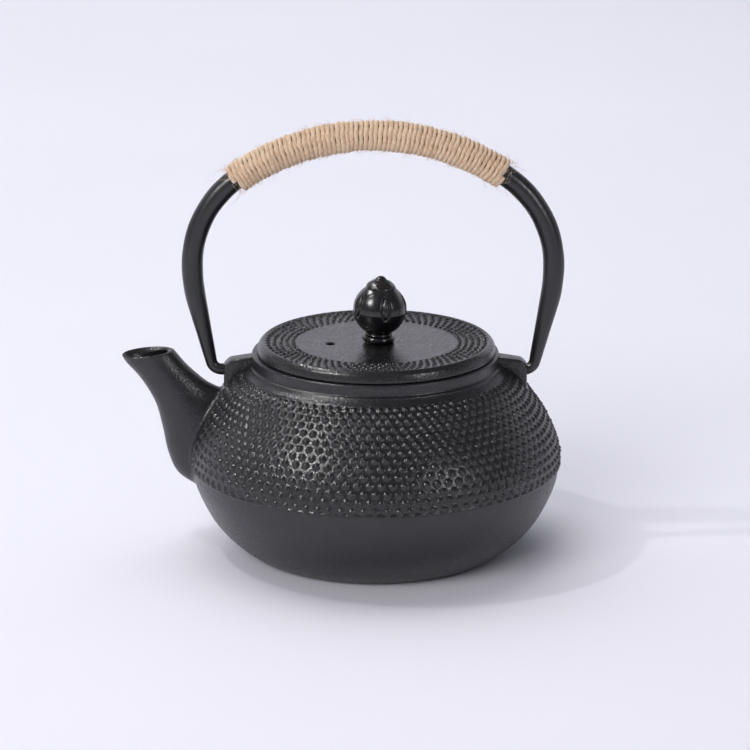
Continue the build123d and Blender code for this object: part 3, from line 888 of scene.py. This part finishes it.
# ---- materials ----
class Shader:
    """Small helper round one material's node tree."""

    def __init__(self, name, **sockets):
        self.material = bpy.data.materials.new(name)
        self.material.use_nodes = True
        self.tree = self.material.node_tree
        self.surface = self.tree.nodes["Principled BSDF"]
        self.place = self.add("TexCoord").outputs["Object"]
        for socket, value in sockets.items():
            self.surface.inputs[socket.replace("_", " ")].default_value = value

    def add(self, kind, **settings):
        node = self.tree.nodes.new("ShaderNode" + kind)
        for key, value in settings.items():
            setattr(node, key, value)
        return node

    def link(self, source, target):
        self.tree.links.new(source, target)

    def noise(self, size, detail=2.0, rough=0.5, distort=0.0, squeeze=None):
        """Noise with features about size millimetres across."""
        node = self.add("TexNoise")
        node.inputs["Scale"].default_value = 1 / (size * MM)
        node.inputs["Detail"].default_value = detail
        node.inputs["Roughness"].default_value = rough
        node.inputs["Distortion"].default_value = distort
        if squeeze is None:
            self.link(self.place, node.inputs["Vector"])
        else:
            mapping = self.add("Mapping")
            mapping.inputs["Scale"].default_value = squeeze
            self.link(self.place, mapping.inputs["Vector"])
            self.link(mapping.outputs["Vector"], node.inputs["Vector"])
        return node.outputs["Fac"]

    def ramp(self, source, *stops):
        """Colour ramp: stops are (place, colour or grey)."""
        node = self.add("ValToRGB")
        ramp = node.color_ramp
        while len(ramp.elements) < len(stops):
            ramp.elements.new(0.5)
        for element, (where, colour) in zip(ramp.elements, stops):
            element.position = where
            if isinstance(colour, (int, float)):
                colour = (colour, colour, colour)
            element.color = (*colour, 1)
        self.link(source, node.inputs["Fac"])
        return node.outputs["Color"]

    def mix(self, share, first, second):
        """Blend of two colours: each is a socket or a constant."""
        node = self.add("Mix", data_type="RGBA")
        for socket, value in ((node.inputs[0], share), (node.inputs[6], first), (node.inputs[7], second)):
            if isinstance(value, tuple):
                socket.default_value = (*value, 1)
            else:
                self.link(value, socket)
        return node.outputs[2]

    def bump(self, height, depth, after=None):
        """Normal raised by a height from 0 to 1, depth in millimetres, on top of an earlier bump."""
        node = self.add("Bump")
        node.inputs["Strength"].default_value = 1.0
        node.inputs["Distance"].default_value = depth * MM
        self.link(height, node.inputs["Height"])
        if after is not None:
            self.link(after, node.inputs["Normal"])
        return node.outputs["Normal"]

    def finish(self, colour, rough, normal=None):
        for socket, value in (("Base Color", colour), ("Roughness", rough), ("Normal", normal)):
            if value is not None:
                self.link(value, self.surface.inputs[socket])
        return self.material


def cast_iron(name, dark, light, rough, grain, depth):
    """Black baked finish over sand-cast iron: fine pebbles, faint blotches, satin gloss."""
    s = Shader(name, IOR=1.5, Metallic=0.0, Specular_IOR_Level=0.72)
    blotch = s.noise(9.0, 3.0, 0.6)
    speck = s.noise(0.55, 2.0, 0.6)
    colour = s.mix(s.ramp(blotch, (0.35, 0.0), (0.65, 1.0)), dark, light)
    colour = s.mix(s.ramp(speck, (0.35, 0.75), (0.7, 1.0)), (0.0, 0.0, 0.0), colour)
    low, high = rough
    shine = s.ramp(s.noise(1.1, 1.0, 0.5), (0.35, low), (0.65, high))
    normal = s.bump(s.noise(7.0, 1.0, 0.5), 0.12)
    normal = s.bump(s.noise(grain, 0.0), depth, normal)
    return s.finish(colour, shine, normal)


def jute():
    """Fair natural twine: streaked along its strands, with a few dark flecks."""
    s = Shader("jute_twine", IOR=1.45, Specular_IOR_Level=0.15, Sheen_Weight=0.35, Sheen_Roughness=0.5)
    s.surface.inputs["Sheen Tint"].default_value = (1.0, 0.86, 0.66, 1)
    strand = s.noise(0.32, 3.0, 0.65, 0.2, squeeze=(1.0, 0.22, 0.22))
    broad = s.noise(3.5, 2.0, 0.6)
    fleck = s.noise(1.1, 2.0, 0.5)
    colour = s.ramp(strand, (0.25, (0.34, 0.21, 0.13)), (0.45, (0.60, 0.42, 0.28)),
                    (0.62, (0.78, 0.60, 0.43)), (0.8, (0.90, 0.76, 0.60)))
    colour = s.mix(s.ramp(broad, (0.35, 0.0), (0.7, 0.35)), colour, (0.82, 0.65, 0.49))
    colour = s.mix(s.ramp(fleck, (0.73, 0.0), (0.80, 0.7)), colour, (0.10, 0.045, 0.022))
    rough = s.ramp(strand, (0.3, 0.95), (0.7, 0.8))
    return s.finish(colour, rough, s.bump(strand, 0.35))


def brushed_steel():
    """Plain stainless steel, brushed round."""
    s = Shader("brushed_steel", Metallic=1.0)
    brush = s.noise(0.5, 3.0, 0.6, 0.0, squeeze=(1.0, 1.0, 8.0))
    colour = s.ramp(brush, (0.3, (0.52, 0.52, 0.53)), (0.7, (0.68, 0.68, 0.69)))
    rough = s.ramp(brush, (0.3, 0.24), (0.7, 0.38))
    return s.finish(colour, rough, s.bump(brush, 0.02))


def pale_floor():
    """Matt pale grey with a hint of blue."""
    s = Shader("studio_floor", Specular_IOR_Level=0.2)
    tone = s.noise(300.0, 2.0, 0.5)
    colour = s.ramp(tone, (0.3, (0.80, 0.795, 0.86)), (0.7, (0.82, 0.815, 0.88)))
    rough = s.ramp(s.noise(40.0, 2.0, 0.5), (0.3, 0.75), (0.7, 0.85))
    return s.finish(colour, rough)


# ---- stage, light and camera ----
KEY_STRENGTH = 4.0
FRONT_LIGHT, BACK_LIGHT, LEFT_LIGHT = 0.19, 0.85, 0.14
CEILING_POWER, FILL_POWER = 32.0, 42.0
KEY_AT = (-0.22, -0.063, 0.45)
SWEEP_SIDE, SWEEP_FRONT, SWEEP_BACK, SWEEP_R = 3.0, -3.0, 1.2, 0.9


def add_camera():
    """Long lens, looking along +Y and a little down."""
    data = bpy.data.cameras.new("camera")
    data.lens, data.sensor_width = 185.66, 36.0
    data.shift_x = -0.0005
    camera = put("camera", data)
    target = Vector((0, 0, 0.07216))
    pitch, distance = math.radians(16.32), 1.560
    camera.location = target + distance * Vector((0, -math.cos(pitch), math.sin(pitch)))
    camera.rotation_euler = (math.pi / 2 - pitch, 0, 0)
    bpy.context.scene.camera = camera
    bpy.context.scene.view_settings.view_transform = "Standard"


def add_area(name, place, aim, size, power, colour=(1, 1, 1)):
    """Rectangular soft light at a place, facing an aim."""
    data = bpy.data.lights.new(name, "AREA")
    data.shape = "RECTANGLE"
    data.size, data.size_y = size
    data.energy, data.color = power, colour
    light = put(name, data)
    light.location = place
    light.rotation_euler = (Vector(aim) - Vector(place)).to_track_quat("-Z", "Y").to_euler()
    return light


def add_stage():
    """Floor that curves up into a backdrop."""
    depth = [(SWEEP_FRONT, 0.0), (SWEEP_BACK, 0.0)]
    depth += [(SWEEP_BACK + SWEEP_R * math.sin(a), SWEEP_R - SWEEP_R * math.cos(a))
              for a in np.radians(np.linspace(6, 60, 10))]
    points = [(x / MM, y / MM, z / MM) for y, z in depth for x in (-SWEEP_SIDE, SWEEP_SIDE)]
    floor = new_object("studio_sweep", points, grid_faces(len(depth), 2, False))
    floor.data.materials.append(pale_floor())


def add_lights():
    """World, key and soft lights: some only for highlights, some only for even light."""
    world = bpy.data.worlds.new("studio")
    bpy.context.scene.world = world
    world.use_nodes = True
    shade_world(world.node_tree)
    add_key()
    window = add_area("window", (-0.85, -0.66, 0.88), (0, 0, 0.06), (0.27, 0.34), 8.5, (1.0, 0.99, 0.97))
    window.visible_diffuse = False
    side = add_area("side_panel", (1.1, -1.0, 0.62), (0, 0, 0.08), (0.30, 0.50), 4.0, (0.97, 0.98, 1.0))
    side.visible_diffuse = False
    spark = add_area("spark", (-0.30, 0.16, 0.60), (0, 0, 0.10), (0.06, 0.06), 0.9)
    spark.visible_diffuse = False
    ceiling = add_area("ceiling", (-0.35, 1.0, 1.9), (0, 0.8, 0), (2.2, 2.2), CEILING_POWER,
                       (0.97, 0.97, 1.0))
    ceiling.visible_glossy = False
    fill = add_area("fill", (-1.1, -2.0, 1.2), (0, 0, 0.05), (1.8, 1.2), FILL_POWER, (1.0, 0.985, 0.99))
    fill.visible_glossy = False


def shade_world(tree):
    """Bright low behind the pot, dim overhead and on the camera's side."""
    background = tree.nodes["Background"]
    background.inputs["Color"].default_value = (0.90, 0.90, 1.0, 1)
    aim = tree.nodes.new("ShaderNodeSeparateXYZ")
    tree.links.new(tree.nodes.new("ShaderNodeTexCoord").outputs["Generated"], aim.inputs[0])

    def span(axis, low, high, gain):
        node = tree.nodes.new("ShaderNodeMapRange")
        node.interpolation_type = "SMOOTHSTEP"
        for socket, value in (("From Min", low), ("From Max", high), ("To Min", 0.0), ("To Max", gain)):
            node.inputs[socket].default_value = value
        tree.links.new(aim.outputs[axis], node.inputs["Value"])
        return node.outputs["Result"]

    def join(operation, first, second):
        node = tree.nodes.new("ShaderNodeMath")
        node.operation = operation
        tree.links.new(first, node.inputs[0])
        if isinstance(second, float):
            node.inputs[1].default_value = second
        else:
            tree.links.new(second, node.inputs[1])
        return node.outputs[0]

    glow = join("MULTIPLY", span("Y", 0.05, 0.70, BACK_LIGHT), span("Z", 0.62, 0.32, 1.0))
    total = join("ADD", join("ADD", glow, span("X", 0.5, -0.9, LEFT_LIGHT)), FRONT_LIGHT)
    tree.links.new(total, background.inputs["Strength"])


def add_key():
    """Small hard light over the spout; its strength doesn't fall off across the table."""
    data = bpy.data.lights.new("key", "POINT")
    data.shadow_soft_size = 0.008
    data.energy = 1.0
    data.use_nodes = True
    tree = data.node_tree
    falloff = tree.nodes.new("ShaderNodeLightFalloff")
    falloff.inputs["Strength"].default_value = KEY_STRENGTH
    tree.links.new(falloff.outputs["Constant"], tree.nodes["Emission"].inputs["Strength"])
    put("key", data).location = KEY_AT


# ---- put together ----
def dress(piece, body, material, node):
    """Gives a piece its material and body, and hides the CAD node that it replaces."""
    piece.data.materials.clear()
    piece.data.materials.append(material)
    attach(piece, body)
    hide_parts(node)


add_camera()
add_stage()
add_lights()

iron = cast_iron("pot_black_iron", (0.004, 0.004, 0.005), (0.008, 0.008, 0.009),
                 (0.27, 0.38), 0.85, 0.12)
bowl_iron = cast_iron("bowl_black_iron", (0.005, 0.005, 0.007), (0.009, 0.009, 0.012),
                      (0.30, 0.42), 0.85, 0.15)
lid_iron = cast_iron("lid_black_iron", (0.005, 0.005, 0.006), (0.009, 0.009, 0.010),
                     (0.27, 0.36), 0.9, 0.09)
knob_iron = cast_iron("knob_black_iron", (0.003, 0.003, 0.0035), (0.006, 0.006, 0.007),
                      (0.21, 0.27), 1.6, 0.02)
bail_black = cast_iron("bail_black_satin", (0.003, 0.003, 0.004), (0.006, 0.006, 0.008),
                       (0.28, 0.38), 1.2, 0.06)
twine = jute()
steel = brushed_steel()

for half in hobnail_band():
    dress(half, "pot", iron, "pot_body")
dress(pot_shell(), "pot", bowl_iron, "pot_body")
dress(pot_lugs(), "pot", iron, "pot_body")
dress(settle(cast_lid(), LID_SHIFT), "lid", lid_iron, "lid")
for piece, node in ((knob_ball(), "lid_knob"), (knob_cap(), "lid_knob"), (collar_ring(), "knob_collar")):
    dress(settle(piece, LID_SHIFT + KNOB_SHIFT, KNOB_LEAN), "lid", knob_iron, node)
dress(bail_iron(), "bail", bail_black, "bail_rod")
dress(twine_wrap(), "bail", twine, "handle_wrap")
dress(twine_fibres(), "bail", twine, "handle_wrap")
dress(infuser_sleeve(), "infuser", steel, "infuser_wall")
dress(infuser_floor(), "infuser", steel, "infuser_base")
flange, foot = infuser_rings()
dress(flange, "infuser", steel, "infuser_rim")
dress(foot, "infuser", steel, "infuser_band")
for node in ("knob_stud", "knob_washer"):
    for slot in bpy.data.objects[node].material_slots:
        slot.material = steel
